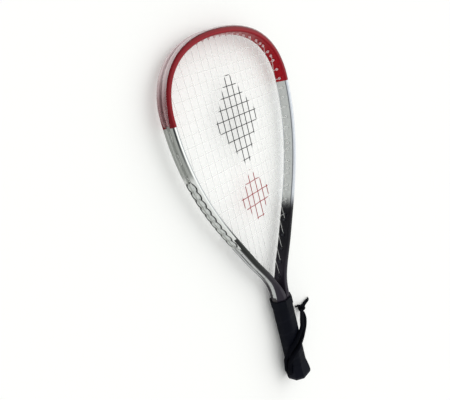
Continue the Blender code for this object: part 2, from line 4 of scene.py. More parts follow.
import bpy
import numpy as np
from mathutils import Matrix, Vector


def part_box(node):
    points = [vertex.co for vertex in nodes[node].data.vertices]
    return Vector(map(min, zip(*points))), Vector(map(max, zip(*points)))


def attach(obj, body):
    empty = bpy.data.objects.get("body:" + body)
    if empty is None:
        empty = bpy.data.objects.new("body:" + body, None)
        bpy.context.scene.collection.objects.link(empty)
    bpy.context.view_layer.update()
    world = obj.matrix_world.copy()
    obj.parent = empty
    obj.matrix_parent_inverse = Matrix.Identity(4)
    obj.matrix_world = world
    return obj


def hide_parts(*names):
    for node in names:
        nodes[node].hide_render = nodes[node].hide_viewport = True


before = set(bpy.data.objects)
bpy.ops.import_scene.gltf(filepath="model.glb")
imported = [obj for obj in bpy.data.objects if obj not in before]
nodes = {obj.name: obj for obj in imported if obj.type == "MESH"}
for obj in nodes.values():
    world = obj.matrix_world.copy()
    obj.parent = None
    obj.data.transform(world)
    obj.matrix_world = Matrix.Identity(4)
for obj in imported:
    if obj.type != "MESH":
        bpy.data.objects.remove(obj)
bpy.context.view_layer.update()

bpy.ops.object.select_all(action="DESELECT")

# ---------------------------------------------------------------------------
# Frame: one carbon tube, moulded as a hoop whose two ends lie side by side in the handle.
# It is grooved round the outside for the strings, filled, rubbed down and sprayed: red over
# the tip, silver down the sides and black towards the grip, under one coat of lacquer.

# Where the racket lies: its butt's y, and the height of the frame's middle over the floor.
BUTT = -0.280
MID = 0.0174

TUBE_HALF_WIDTH = 0.0041
TUBE_HALF_DEPTH = 0.0102
TUBE_CORNER = 0.0026
CORNER_STEPS = 5
GROOVE_HALF_WIDTH = 0.0037
GROOVE_DEPTH = 0.0028
GROOVE_FLAT = 0.0022
GROOVE_EASE = 0.0003
GROOVE_END = 0.1475
GROOVE_RUN_OUT = 0.002
INNER_FLAT = 0.0036
HANDLE_FROM = 0.142
SECTION_CHANGE = 0.042
SHAFT_HALF_WIDTH = 0.00755
SHAFT_HALF_DEPTH = 0.0131
SHAFT_BEVEL = 0.00789
SHAFT_EASE = 0.0004

# The hoop's line, right side: place, handle before it and handle after it, measured from the butt.
HOOP_LINE = [
    ((0.00785, 0.0215), (0.0, -0.01), (0.0, 0.03)),
    ((0.00785, 0.142), (0.0, -0.03), (0.0, 0.040)),
    ((0.050, 0.235), (-0.0225, -0.03897), (0.0350, 0.06062)),
    ((0.1305, 0.463), (0.0, -0.102), (0.0, 0.040)),
    ((0.0, 0.5538), (0.105, 0.0), (-0.105, 0.0)),
]


def take(piece):
    """Makes a piece the only one that the next operators work on."""
    bpy.ops.object.select_all(action="DESELECT")
    piece.select_set(True)
    bpy.context.view_layer.objects.active = piece


def points_of(piece):
    flat = np.zeros(len(piece.data.vertices) * 3, np.float32)
    piece.data.vertices.foreach_get("co", flat)
    return flat.reshape(-1, 3).astype(float)


def move_points(piece, points):
    piece.data.vertices.foreach_set("co", np.asarray(points, np.float32).ravel())
    piece.data.update()


def carry(piece, name, values):
    """Gives a piece a value at each point, for its finish to read."""
    piece.data.attributes.new(name, "FLOAT", "POINT").data.foreach_set("value", values)


def close_ends(piece):
    """Closes a tube's open ends and turns its faces outwards."""
    take(piece)
    bpy.ops.object.mode_set(mode="EDIT")
    bpy.ops.mesh.select_all(action="SELECT")
    bpy.ops.mesh.fill_holes(sides=0)
    bpy.ops.mesh.normals_make_consistent(inside=False)
    bpy.ops.object.mode_set(mode="OBJECT")


def soft_step(share):
    return share * share * (3 - 2 * share)


def rounded(u, v, side):
    """Points round a corner of the tube's section, from the wall to the flat face."""
    turns = [math.pi / 2 * step / CORNER_STEPS for step in range(CORNER_STEPS + 1)]
    return [
        (u - side * TUBE_CORNER * (1 - math.cos(t)), v - TUBE_CORNER * (1 - math.sin(t)))
        for t in turns
    ]


def whole(front):
    """A section from its front half, whose last point is the only one that isn't mirrored."""
    return np.array(front + [(u, -v) for u, v in front[-2::-1]])


# The tube's section in the hoop, and half the handle's octagon with as many points, each from the
# groove's middle to the inner wall's.
groove_floor = TUBE_HALF_WIDTH - GROOVE_DEPTH
tube_section = whole([
    (groove_floor, GROOVE_FLAT),
    (groove_floor + GROOVE_EASE, GROOVE_HALF_WIDTH - GROOVE_EASE),
    (TUBE_HALF_WIDTH - GROOVE_EASE, GROOVE_HALF_WIDTH),
    (TUBE_HALF_WIDTH, GROOVE_HALF_WIDTH + GROOVE_EASE),
    *rounded(TUBE_HALF_WIDTH, TUBE_HALF_DEPTH, 1),
    *rounded(-TUBE_HALF_WIDTH, TUBE_HALF_DEPTH, -1)[::-1],
    (-TUBE_HALF_WIDTH, INNER_FLAT),
    (-TUBE_HALF_WIDTH, 0.0),
])
corner_shares = np.linspace(0, 1, CORNER_STEPS + 1)
shaft_section = whole([
    *[(SHAFT_HALF_WIDTH, v) for v in (GROOVE_FLAT, 0.0030, INNER_FLAT, 0.0042)],
    *[
        (SHAFT_HALF_WIDTH - SHAFT_BEVEL * t, SHAFT_HALF_DEPTH - SHAFT_BEVEL * (1 - t))
        for t in corner_shares
    ],
    *[
        (-SHAFT_HALF_WIDTH + SHAFT_EASE * (1 - t), SHAFT_HALF_DEPTH - SHAFT_EASE * t)
        for t in corner_shares
    ],
    (-SHAFT_HALF_WIDTH, INNER_FLAT),
    (-SHAFT_HALF_WIDTH, 0.0),
])
FLOOR_POINTS = 2
GROOVE_POINTS = 4


def draw_hoop(name):
    """The hoop's line as a curve, from the right shaft's end over the tip to the left one's."""
    bpy.ops.curve.primitive_bezier_curve_add(location=(0, 0, MID))
    line = bpy.context.object
    line.name = name
    line.data.dimensions = "2D"
    line.data.resolution_u = 26
    spline = line.data.splines[0]
    spots = [(x, y, *before, *after) for (x, y), before, after in HOOP_LINE]
    spots += [(-x, y, -c, d, -a, b) for x, y, a, b, c, d in spots[-2::-1]]
    spline.bezier_points.add(len(spots) - 2)
    for point, (x, y, a, b, c, d) in zip(spline.bezier_points, spots):
        point.handle_left_type = point.handle_right_type = "FREE"
        point.co = (x, BUTT + y, 0)
        point.handle_left = (x + a, BUTT + y + b, 0)
        point.handle_right = (x + c, BUTT + y + d, 0)
    return line


def give_section(line, section, name):
    """A solid with this section all along the line: x outward from the hoop, y to the front."""
    drawn = bpy.data.curves.new(name, "CURVE")
    drawn.dimensions = "2D"
    spline = drawn.splines.new("POLY")
    spline.points.add(len(section) - 1)
    for point, (u, v) in zip(spline.points, section):
        point.co = (u, v, 0, 1)
    spline.use_cyclic_u = True
    holder = bpy.data.objects.new(name, drawn)
    bpy.context.scene.collection.objects.link(holder)
    line.data.bevel_mode = "OBJECT"
    line.data.bevel_object = holder
    take(line)
    bpy.ops.object.convert(target="MESH")
    bpy.ops.object.transform_apply(location=True, rotation=True, scale=True)
    bpy.data.objects.remove(holder)
    return bpy.context.object


hoop = give_section(draw_hoop("hoop"), tube_section, "tube_section")
rings = points_of(hoop).reshape(-1, len(tube_section), 3)
inner_middle = len(tube_section) // 2
outward = rings[:, GROOVE_POINTS - 1, :2] - rings[:, inner_middle, :2]
outward /= np.linalg.norm(outward, axis=1)[:, None]
centre = rings[:, inner_middle, :2] + outward * TUBE_HALF_WIDTH
away = centre[:, 1] - BUTT
# Towards the handle the tube is pressed into half an octagon, where its groove runs out.
pressed = np.clip((HANDLE_FROM + SECTION_CHANGE - away) / SECTION_CHANGE, 0, 1)
pressed = soft_step(pressed)[:, None, None]
grooved = np.clip((away - GROOVE_END) / GROOVE_RUN_OUT, 0, 1)[:, None, None]
closed_tube = np.array(tube_section)
closed_tube[:GROOVE_POINTS, 0] = closed_tube[-GROOVE_POINTS:, 0] = TUBE_HALF_WIDTH
grooved_shaft = np.array(shaft_section)
grooved_shaft[:FLOOR_POINTS, 0] -= GROOVE_DEPTH
grooved_shaft[-FLOOR_POINTS:, 0] -= GROOVE_DEPTH
in_hoop = tube_section * grooved + closed_tube * (1 - grooved)
in_handle = grooved_shaft * grooved + shaft_section * (1 - grooved)
section = in_hoop * (1 - pressed) + in_handle * pressed
rings[:, :, :2] = centre[:, None, :] + outward[:, None, :] * section[:, :, :1]
rings[:, :, 2] = MID + section[:, :, 1]
move_points(hoop, rings.reshape(-1, 3))
steps = np.linalg.norm(np.diff(tube_section[:inner_middle + 1], axis=0), axis=1)
girth = np.concatenate([[GROOVE_FLAT], GROOVE_FLAT + np.cumsum(steps)])
girth = np.concatenate([girth, girth[-2::-1]])
carry(hoop, "girth", np.tile(girth, len(rings)))
close_ends(hoop)
bpy.ops.object.shade_smooth_by_angle(angle=math.radians(32))


def colour(red, green, blue):
    """A colour as a paint chart gives it, from 0 to 255, in the light that shaders count in."""
    shares = [number / 255 for number in (red, green, blue)]
    return tuple(((s + 0.055) / 1.055) ** 2.4 if s > 0.04 else s / 12.92 for s in shares)


class Finish:
    """The finish of one of the racket's materials, with short ways to add and join its nodes."""

    def __init__(self, name):
        self.material = bpy.data.materials.new(name)
        self.material.use_nodes = True
        self.tree = self.material.node_tree
        self.shader = self.tree.nodes["Principled BSDF"]

    def put_on(self, piece):
        """Gives a piece this finish in place of what it had."""
        piece.data.materials.clear()
        piece.data.materials.append(self.material)

    def node(self, kind, inputs=(), **settings):
        made = self.tree.nodes.new("ShaderNode" + kind)
        for key, value in settings.items():
            setattr(made, key, value)
        for key, value in dict(inputs).items():
            self.feed(made.inputs[key], value)
        return made

    def feed(self, socket, value):
        if isinstance(value, bpy.types.NodeSocket):
            self.tree.links.new(value, socket)
        elif isinstance(value, tuple) and len(value) == 3 and socket.type == "RGBA":
            socket.default_value = (*value, 1)
        else:
            socket.default_value = value

    def set(self, **values):
        for key, value in values.items():
            self.feed(self.shader.inputs[key.replace("_", " ")], value)

    def where(self):
        """The point's place on the racket."""
        return self.node("TexCoord").outputs["Object"]

    def measured(self, where):
        """How far a place is across, away from the butt, and up from the frame's middle."""
        x, y, z = self.node("SeparateXYZ", {0: where}).outputs
        return x, self.calc("SUBTRACT", y, BUTT), self.calc("SUBTRACT", z, MID)

    def reading(self, name):
        """A value that the piece carries at each point."""
        return self.node("Attribute", attribute_name=name).outputs["Fac"]

    def calc(self, operation, first, second=0.0, third=0.0):
        inputs = {0: first, 1: second, 2: third}
        return self.node("Math", inputs, operation=operation).outputs[0]

    def ramp(self, value, low, high, kind="LINEAR"):
        """0 below the low mark, 1 above the high one, and an even change between."""
        inputs = {0: value, 1: low, 2: high}
        return self.node("MapRange", inputs, interpolation_type=kind).outputs[0]

    def fade(self, value, low, high):
        """The same, with a change that starts and ends softly."""
        return self.ramp(value, low, high, "SMOOTHSTEP")

    def above(self, value, edge, soft=0.0003):
        """1 where a value is over an edge, 0 under it, with a soft change between."""
        return self.fade(value, self.calc("SUBTRACT", edge, soft), self.calc("ADD", edge, soft))

    def below(self, value, edge, soft=0.0003):
        return self.calc("SUBTRACT", 1.0, self.above(value, edge, soft))

    def between(self, value, low, high, soft=0.0003):
        over = self.above(value, low, soft)
        return self.calc("SUBTRACT", over, self.above(value, high, soft))

    def both(self, first, second):
        return self.calc("MULTIPLY", first, second)

    def over(self, mask, top, under):
        """One colour laid over another where the mask says so."""
        made = self.node("Mix", data_type="RGBA")
        for index, value in ((0, mask), (6, under), (7, top)):
            self.feed(made.inputs[index], value)
        return made.outputs[2]

    def level(self, mask, top, under):
        """One number in place of another where the mask says so."""
        made = self.node("Mix", data_type="FLOAT")
        for index, value in ((0, mask), (2, under), (3, top)):
            self.feed(made.inputs[index], value)
        return made.outputs[0]

    def noise(self, where, scale, detail=2.0, rough=0.5):
        inputs = {"Vector": where, "Scale": scale, "Detail": detail, "Roughness": rough}
        return self.node("TexNoise", inputs).outputs[0]

    def bump(self, height, depth, strength=1.0, under=None):
        inputs = {"Height": height, "Distance": depth, "Strength": strength}
        if under is not None:
            inputs["Normal"] = under
        return self.node("Bump", inputs).outputs[0]


# How far round the tube each thing is, from the groove's middle to the inner wall's.
FRONT_LIP = (0.0052, 0.0076)
REAR_LIP = (0.0050, 0.0090)
GROOVE_EDGE = 0.0060
DUST_TO = 0.0062
OUTER_LINE = (0.0106, 0.0131)
BLACK_WALL_TO = 0.0112
OUTER_WALL_TO = 0.0138
FLAT_FACE = (0.0134, 0.0205)
INNER_HALF_FROM = 0.0158
FACE_LINE = (0.0161, 0.0172)
SHADED_RED_TO = 0.0165
INNER_LINE = (0.0190, 0.0208)

# How far from the butt each thing is.
REAR_LIP_FROM = 0.190
BLACK_FROM = 0.196
BAND_FOOT = 0.2610
MISTED_EDGE = (0.268, 0.291)
MIST_REACH = 0.006
FIRST_DISC = 0.2724
SHADED_EDGE = (0.276, 0.335)
CLEAN_EDGE = 0.2800
OUTER_LINE_FADE = (0.365, 0.445)
BAND_HEAD = 0.3860
RED_FROM_LEFT = 0.4545
RED_FROM_RIGHT = 0.4610

LAST_DISC = 8
DISC_PITCH = 0.0125
DISC_RADIUS = 0.0088
DISC_RIM = 0.0023
DISC_LAP = 0.0008
DISC_MIDDLE = 0.001

paint = Finish("frame_paint")
where = paint.where()
x, away, up = paint.measured(where)
girth = paint.reading("girth")
on_right = paint.above(x, 0.0, 0.0001)
on_outer_side = paint.below(girth, OUTER_WALL_TO)
flake = paint.node("TexVoronoi", {"Vector": where, "Scale": 5200.0}, feature="F1")
sparkle = paint.node("SeparateColor", {0: flake.outputs["Color"]}).outputs[0]
cloud = paint.noise(where, 45.0, 3.0)


def flaked(bright, dark):
    """Paint with metal flake in it, each fleck somewhere between two colours."""
    return paint.over(sparkle, colour(*bright), colour(*dark))


# Painted light: the silver is darker on the outer walls and lighter on the inner wall, as lit and
# shaded copies of one paint.
silver = flaked((176, 179, 175), (150, 153, 149))
silver = paint.over(paint.both(cloud, 0.25), colour(150, 153, 151), silver)
inner_wall = paint.above(girth, FLAT_FACE[1], 0.0006)
silver = paint.over(inner_wall, flaked((208, 211, 210), (184, 187, 186)), silver)
# The flat faces to the front and the back are paler than the walls: paler paint, lightened further
# as painted highlight, and bluish on the right arm as painted reflection.
pale_face_and_highlight = flaked((226, 227, 225), (206, 208, 206))
pale_face_and_highlight = paint.over(paint.both(on_right, 0.8), colour(202, 207, 216), pale_face_and_highlight)
silver = paint.over(paint.between(girth, *FLAT_FACE, 0.0004), pale_face_and_highlight, silver)
# Dark lines. Seen from the front or from the back, one runs down the left arm's outer corner and
# fades out, one runs down the right arm's inner corner, both of them painted shade, and both faces
# have a fine one.
turned = paint.calc("MULTIPLY", x, up)
outer_corner_shade = paint.between(girth, *OUTER_LINE, 0.0005)
outer_corner_shade = paint.both(outer_corner_shade, paint.calc("LESS_THAN", turned, 0.0))
outer_corner_shade = paint.both(outer_corner_shade, paint.both(paint.fade(away, *OUTER_LINE_FADE), 0.92))
silver = paint.over(outer_corner_shade, colour(34, 39, 43), silver)
inner_corner_shade = paint.between(girth, *INNER_LINE, 0.0004)
inner_corner_shade = paint.both(inner_corner_shade, paint.calc("GREATER_THAN", turned, 0.0))
silver = paint.over(paint.both(inner_corner_shade, 0.8), colour(84, 90, 97), silver)
face_line = paint.between(girth, *FACE_LINE)
silver = paint.over(paint.both(face_line, 0.85), colour(112, 120, 128), silver)


def disc_band(finish, away, up, ground):
    """The band of discs over a ground colour: one dark outline round them all, pale inside, each
    darker towards its edge as painted shade.
    """
    along = finish.calc("SUBTRACT", away, FIRST_DISC)
    nearest = finish.calc("ROUND", finish.calc("DIVIDE", along, DISC_PITCH))
    tall = finish.calc("POWER", up, 2.0)
    reaches = []
    for shift in (0.0, 1.0):
        index = finish.calc("MAXIMUM", finish.calc("ADD", nearest, shift), 0.0)
        index = finish.calc("MINIMUM", index, LAST_DISC)
        step = finish.calc("SUBTRACT", along, finish.calc("MULTIPLY", index, DISC_PITCH))
        squares = finish.calc("ADD", finish.calc("POWER", step, 2.0), tall)
        reaches.append(finish.calc("SQRT", squares))
    own_reach, next_reach = reaches
    shade = finish.ramp(own_reach, DISC_MIDDLE, DISC_RADIUS)
    face = finish.over(shade, colour(190, 194, 192), colour(222, 225, 223))
    lap = finish.between(next_reach, DISC_RADIUS - DISC_LAP, DISC_RADIUS)
    face = finish.over(finish.both(lap, 0.25), colour(96, 100, 102), face)
    rim = finish.above(own_reach, DISC_RADIUS - DISC_RIM)
    face = finish.over(rim, colour(6, 7, 9), face)
    return finish.over(finish.above(own_reach, DISC_RADIUS, 0.0002), ground, face)


# Down both outer walls is a band of overlapping discs, on a stretch as pale as the faces.
beside_band = paint.both(paint.between(away, BAND_FOOT, BAND_HEAD, 0.006), on_outer_side)
silver = paint.over(beside_band, pale_face_and_highlight, silver)
silver = paint.over(on_outer_side, disc_band(paint, away, up, silver), silver)
# Black towards the grip: a misted edge on the right arm, and a clean one on the left arm, but for
# its inner half, which is shaded off.
grain = paint.calc("MULTIPLY", paint.calc("SUBTRACT", sparkle, 0.5), MIST_REACH)
misted = paint.calc("ADD", away, grain)
past_wall = paint.above(girth, BLACK_WALL_TO)
clean_edge = paint.above(away, paint.level(past_wall, CLEAN_EDGE, BAND_FOOT), 0.0006)
inner_half = paint.above(girth, INNER_HALF_FROM, 0.0006)
left_edge = paint.level(inner_half, paint.fade(misted, *SHADED_EDGE), clean_edge)
silver_share = paint.level(on_right, paint.fade(misted, *MISTED_EDGE), left_edge)
# Painted light: the black is lighter on the left arm than on the right, and lower down it is a
# charcoal-purple lightened as painted reflection.
black = paint.over(on_right, colour(10, 10, 18), colour(32, 34, 32))
black = paint.over(paint.above(away, BLACK_FROM, 0.03), black, colour(42, 37, 47))
# Down the arms the groove's lips are painted bright: painted highlight.
front_lip = paint.between(girth, *FRONT_LIP, 0.0004)
front_lip = paint.both(front_lip, paint.above(away, GROOVE_END + 0.001, 0.001))
front_lip = paint.both(front_lip, paint.above(up, 0.0, 0.0004))
rear_lip = paint.between(girth, *REAR_LIP, 0.0004)
rear_lip = paint.both(rear_lip, paint.above(away, REAR_LIP_FROM, 0.02))
rear_lip = paint.both(rear_lip, paint.calc("LESS_THAN", up, 0.0))
lips = paint.calc("MAXIMUM", front_lip, rear_lip)
black = paint.over(lips, colour(190, 192, 194), black)
lower = paint.over(silver_share, silver, black)
# In the silver part the groove is painted pale: painted light that lightens its shade.
lightened_groove = paint.both(silver_share, paint.below(girth, GROOVE_EDGE, 0.0004))
lower = paint.over(lightened_groove, colour(214, 217, 213), lower)
# Red over the tip, brighter on the inner wall as painted highlight and deeper on the outer one as
# painted shade, its edge a little higher on the right arm.
red = flaked((150, 9, 26), (128, 7, 22))
red = paint.over(inner_wall, flaked((174, 9, 26), (150, 7, 22)), red)
shaded_outer_red = paint.below(girth, SHADED_RED_TO, 0.0015)
red = paint.over(shaded_outer_red, flaked((118, 5, 18), (98, 4, 15)), red)
red = paint.over(paint.both(cloud, 0.3), colour(96, 4, 15), red)
red_share = paint.above(away, paint.level(on_right, RED_FROM_RIGHT, RED_FROM_LEFT))
painted = paint.over(red_share, red, lower)
# Dust in the groove and on its lips, and rubbed places on the lacquer.
dust = paint.both(paint.noise(where, 160.0, 4.0), paint.below(girth, DUST_TO, 0.0008))
painted = paint.over(paint.both(dust, 0.35), colour(150, 146, 140), painted)
scuffs = paint.ramp(paint.noise(where, 310.0, 6.0, 0.7), 0.56, 0.75)
metal = paint.level(red_share, 0.65, paint.level(silver_share, 0.75, 0.35))
metal = paint.both(metal, paint.above(girth, GROOVE_EDGE, 0.0004))
paint.set(Base_Color=painted, Metallic=metal, Roughness=paint.level(scuffs, 0.42, 0.30))
paint.set(Coat_Weight=0.15, Coat_Roughness=0.05, Specular_IOR_Level=0.12)
peel = paint.bump(paint.noise(where, 900.0), 0.00004)
paint.set(Normal=paint.bump(scuffs, 0.00002, 0.5, peel))
paint.put_on(hoop)
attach(hoop, "root")
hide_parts("frame")

# ---------------------------------------------------------------------------
# Head guard and grommet strips: injection-moulded clear nylon, snapped into the groove, with a
# barrel in each hole. The nylon is milky, so the paint shows through where it is thin.

# The hoop's middle line on the right: the tip's by its angle round a centre, the arm's by how far
# from the butt it is.
TIP_CENTRE = 0.45
ARM_FROM = 0.22
ARM_TO = 0.465
BARREL_FROM = 0.0028
TIP_LIGHT = (0.475, 0.525)
RAIL_MIDDLE = 0.0058
STRIP_MIDDLE = 0.0024
middle_line = np.stack([centre[:, 0], centre[:, 1] - BUTT], axis=1)
right_line = middle_line[(middle_line[:, 0] > 0) & (middle_line[:, 1] > ARM_FROM)]
tip_across, tip_up = (right_line[right_line[:, 1] > TIP_CENTRE] - (0, TIP_CENTRE)).T
tip_fit = np.polyfit(np.arctan2(tip_across, tip_up), np.hypot(tip_across, tip_up), 6)
arm_across, arm_away = right_line[right_line[:, 1] < ARM_TO].T
arm_fit = np.polyfit(arm_away, arm_across, 5)


def inside_hoop(finish, value, fit, reach):
    """1 inside the hoop, where the barrels stand out of its inner wall. The fit gives the middle
    line's reach from a value, and the point's own reach is compared with it."""
    line = float(fit[0])
    for factor in fit[1:]:
        line = finish.calc("MULTIPLY_ADD", line, value, float(factor))
    return finish.above(finish.calc("SUBTRACT", line, reach), BARREL_FROM, 0.0004)


def moulded_nylon(name):
    """Nylon's finish, with its measured place, its haze and its scuffs."""
    finish = Finish(name)
    where = finish.where()
    haze = finish.noise(where, 60.0, 3.0)
    scuffs = finish.ramp(finish.noise(where, 420.0, 6.0, 0.7), 0.52, 0.72)
    finish.set(Normal=finish.bump(finish.noise(where, 700.0, 3.0), 0.00005))
    return finish, finish.measured(where), haze, scuffs


guard, (x, away, up), haze, scuffs = moulded_nylon("guard_nylon")
milk = guard.over(haze, colour(188, 148, 151), colour(160, 116, 120))
# Over the tip it is painted whiter and hazier as painted light, and it is thin, so clearer, at the
# rails' edges.
tip_light = guard.fade(away, *TIP_LIGHT)
milk = guard.over(guard.both(tip_light, 0.75), colour(238, 222, 224), milk)
milk = guard.over(guard.both(scuffs, 0.25), colour(226, 218, 218), milk)
thin = guard.above(guard.calc("ABSOLUTE", up), RAIL_MIDDLE, 0.0022)
scuffs_and_tip_light = guard.calc("MAXIMUM", guard.both(scuffs, 0.14), guard.both(tip_light, 0.34))
haziness = guard.calc("ADD", guard.level(thin, 0.20, 0.50), scuffs_and_tip_light)
# Inside the hoop the barrels are thick and white.
far = guard.calc("SUBTRACT", away, TIP_CENTRE)
aside = guard.calc("ABSOLUTE", x)
angle = guard.calc("ARCTAN2", aside, far)
squares = guard.calc("MULTIPLY_ADD", aside, aside, guard.both(far, far))
barrels = inside_hoop(guard, angle, tip_fit, guard.calc("SQRT", squares))
milk = guard.over(barrels, colour(234, 208, 211), milk)
haziness = guard.calc("MAXIMUM", haziness, barrels)
guard.set(Base_Color=milk, Alpha=haziness, Roughness=guard.level(scuffs, 0.50, 0.28))
guard.set(Coat_Weight=0.5, Coat_Roughness=0.12)
guard.put_on(nodes["head_guard"])

# The strips are sprayed with the frame, discs and all, down to the band's foot, in a grey darker
# than the walls as painted shade, with lighter edges as painted light. Their barrels are white in
# the silver and dark in the black.
strip, (x, away, up), haze, scuffs = moulded_nylon("strip_nylon")
bare = strip.over(haze, colour(212, 214, 213), colour(190, 192, 192))
sprayed = strip.over(haze, colour(144, 147, 142), colour(128, 131, 126))
lit_strip_edge = strip.above(strip.calc("ABSOLUTE", up), STRIP_MIDDLE)
sprayed = strip.over(strip.both(lit_strip_edge, 0.6), colour(196, 199, 198), sprayed)
sprayed = disc_band(strip, away, up, sprayed)
coloured = strip.over(strip.above(away, BAND_FOOT, 0.0008), sprayed, bare)
barrels = inside_hoop(strip, away, arm_fit, strip.calc("ABSOLUTE", x))
in_silver = strip.above(away, CLEAN_EDGE, 0.010)
barrel = strip.over(in_silver, colour(238, 240, 239), colour(48, 49, 57))
strip.set(Base_Color=strip.over(barrels, barrel, coloured), Specular_IOR_Level=0.35)
strip.set(Roughness=strip.level(scuffs, 0.55, 0.34))
for name in ("grommet_strip_left", "grommet_strip_right"):
    strip.put_on(nodes[name])

# ---------------------------------------------------------------------------
# Strings: two lengths of drawn nylon, one for the mains and one for the crosses, woven over and
# under each other. Each is round, slightly twisted and translucent, and inked through a stencil.

STRING_GROWTH = 0.00006
# The inked lozenges: their middle along the racket, and half their width and height.
BLACK_LOZENGE = (0.151, 0.049, 0.071)
RED_LOZENGE = (0.035, 0.037, 0.042)

string_nylon = Finish("string_nylon")
where = string_nylon.where()
x, y, _ = string_nylon.node("SeparateXYZ", {0: where}).outputs


def lozenge(middle, half_width, half_height):
    """1 inside a lozenge on the racket's centre line."""
    wide = string_nylon.calc("ABSOLUTE", x)
    tall = string_nylon.calc("ABSOLUTE", string_nylon.calc("SUBTRACT", y, middle))
    wide_share = string_nylon.calc("DIVIDE", wide, half_width)
    tall_share = string_nylon.calc("DIVIDE", tall, half_height)
    return string_nylon.below(string_nylon.calc("ADD", wide_share, tall_share), 1.0, 0.02)


clear = string_nylon.over(
    string_nylon.noise(where, 90.0), colour(254, 254, 253), colour(248, 249, 246))
black_ink = lozenge(*BLACK_LOZENGE)
red_ink = lozenge(*RED_LOZENGE)
inked = string_nylon.over(black_ink, colour(18, 18, 20), clear)
inked = string_nylon.over(red_ink, colour(158, 10, 30), inked)
ink = string_nylon.calc("MAXIMUM", black_ink, red_ink)
string_nylon.set(Base_Color=inked, Roughness=string_nylon.level(ink, 0.55, 0.28))
string_nylon.set(Alpha=string_nylon.level(ink, 1.0, 0.26))
twist = string_nylon.node(
    "TexWave", {"Vector": where, "Scale": 420.0, "Distortion": 1.0}, bands_direction="DIAGONAL")
string_nylon.set(Normal=string_nylon.bump(twist.outputs["Fac"], 0.00001))


def apply_modifiers(piece):
    take(piece)
    for modifier in list(piece.modifiers):
        bpy.ops.object.modifier_apply(modifier=modifier.name)


def finer_string(node):
    """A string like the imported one, with a round section and its bends drawn smooth."""
    made = nodes[node].copy()
    made.data = nodes[node].data.copy()
    made.name = node + "_round"
    made.parent = None
    # The copy is a piece of its own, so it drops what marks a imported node.
    for key in list(made.keys()):
        del made[key]
    bpy.context.scene.collection.objects.link(made)
    take(made)
    bpy.ops.object.mode_set(mode="EDIT")
    bpy.ops.mesh.select_all(action="SELECT")
    bpy.ops.mesh.remove_doubles(threshold=0.000002)
    bpy.ops.mesh.tris_convert_to_quads(
        face_threshold=math.radians(60), shape_threshold=math.radians(80))
    bpy.ops.object.mode_set(mode="OBJECT")
    smooth = made.modifiers.new("smooth", "SUBSURF")
    smooth.levels = smooth.render_levels = 1
    apply_modifiers(made)
    # Smoothing draws the section in, so the string is let out again.
    bpy.ops.object.mode_set(mode="EDIT")
    bpy.ops.mesh.select_all(action="SELECT")
    bpy.ops.transform.shrink_fatten(value=STRING_GROWTH)
    bpy.ops.object.mode_set(mode="OBJECT")
    bpy.ops.object.shade_smooth()
    string_nylon.put_on(made)
    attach(made, "root")
    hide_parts(node)


finer_string("main_string")
finer_string("cross_string")

# ---------------------------------------------------------------------------
# Grip: a padded polyurethane tape, stuck on the shafts and wound up the handle with each turn
# over the edge of the one before. Its skin has a fine leather grain, rubbed smoother on the laps.

GRIP_HALF_WIDTH = 0.0173
GRIP_HALF_DEPTH = 0.0150
GRIP_BEVEL = 0.0090
GRIP_ROUND = 0.0030
GRIP_THICKNESS = 0.0014
GRIP_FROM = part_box("grip_wrap")[0].y
GRIP_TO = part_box("grip_wrap")[1].y
CUTS_ROUND = 6
CUTS_ALONG = 170
# Each lap rises at its edge, over a share of a turn, and then falls away to the next one.
LAP_PITCH = 0.0235
LAP_RISE = 0.00028
LAP_EDGE = 0.035
LAP_FALL = 0.8
LAP_MEAN = 0.4
LAP_RUBBED = (0.02, 0.16)


def pick(piece, kind, test):
    """Selects in edit mode the edges or faces of a piece that pass a test, and nothing else."""
    bpy.ops.object.mode_set(mode="OBJECT")
    data = piece.data
    for group in (data.vertices, data.edges, data.polygons):
        group.foreach_set("select", [False] * len(group))
    for part in getattr(data, kind):
        ends = [data.vertices[index].co for index in part.vertices]
        part.select = bool(test(ends))
    bpy.context.tool_settings.mesh_select_mode = (False, kind == "edges", kind == "polygons")
    bpy.ops.object.mode_set(mode="EDIT")


def lengthways(ends):
    return abs(ends[0].y - ends[1].y) > 0.8 * (ends[0] - ends[1]).length


def broad(ends):
    return not lengthways(ends) and (ends[0] - ends[1]).length > GRIP_ROUND


def at_an_end(corners):
    return max(p.y for p in corners) - min(p.y for p in corners) < 0.001


bpy.ops.mesh.primitive_cube_add(size=1, location=(0, (GRIP_FROM + GRIP_TO) / 2, MID))
wrap = bpy.context.object
wrap.name = "grip_tape"
wrap.scale = (2 * GRIP_HALF_WIDTH, GRIP_TO - GRIP_FROM, 2 * GRIP_HALF_DEPTH)
bpy.ops.object.transform_apply(location=True, rotation=True, scale=True)
pick(wrap, "edges", lengthways)
bpy.ops.mesh.bevel(offset=GRIP_BEVEL, segments=1, affect="EDGES")
pick(wrap, "edges", lengthways)
bpy.ops.mesh.bevel(offset=GRIP_ROUND, segments=4, affect="EDGES")
pick(wrap, "polygons", at_an_end)
bpy.ops.mesh.delete(type="FACE")
pick(wrap, "edges", broad)
bpy.ops.mesh.subdivide(number_cuts=CUTS_ROUND)
pick(wrap, "edges", lengthways)
bpy.ops.mesh.subdivide(number_cuts=CUTS_ALONG)
bpy.ops.object.mode_set(mode="OBJECT")
points = points_of(wrap)
turn = np.arctan2(points[:, 2] - MID, points[:, 0]) / (2 * math.pi)
phase = ((points[:, 1] - BUTT) / LAP_PITCH + turn) % 1.0
rise = LAP_RISE * soft_step(np.clip(phase / LAP_EDGE, 0, 1)) * (1 - LAP_FALL * phase)
out = points[:, (0, 2)] - (0, MID)
out_length = np.linalg.norm(out, axis=1)
points[:, (0, 2)] += out / out_length[:, None] * (rise[:, None] - LAP_RISE * LAP_MEAN)
move_points(wrap, points)
carry(wrap, "lap", phase)
wall = wrap.modifiers.new("wall", "SOLIDIFY")
wall.thickness = GRIP_THICKNESS
wall.offset = -1
apply_modifiers(wrap)
bpy.ops.object.shade_smooth_by_angle(angle=math.radians(45))

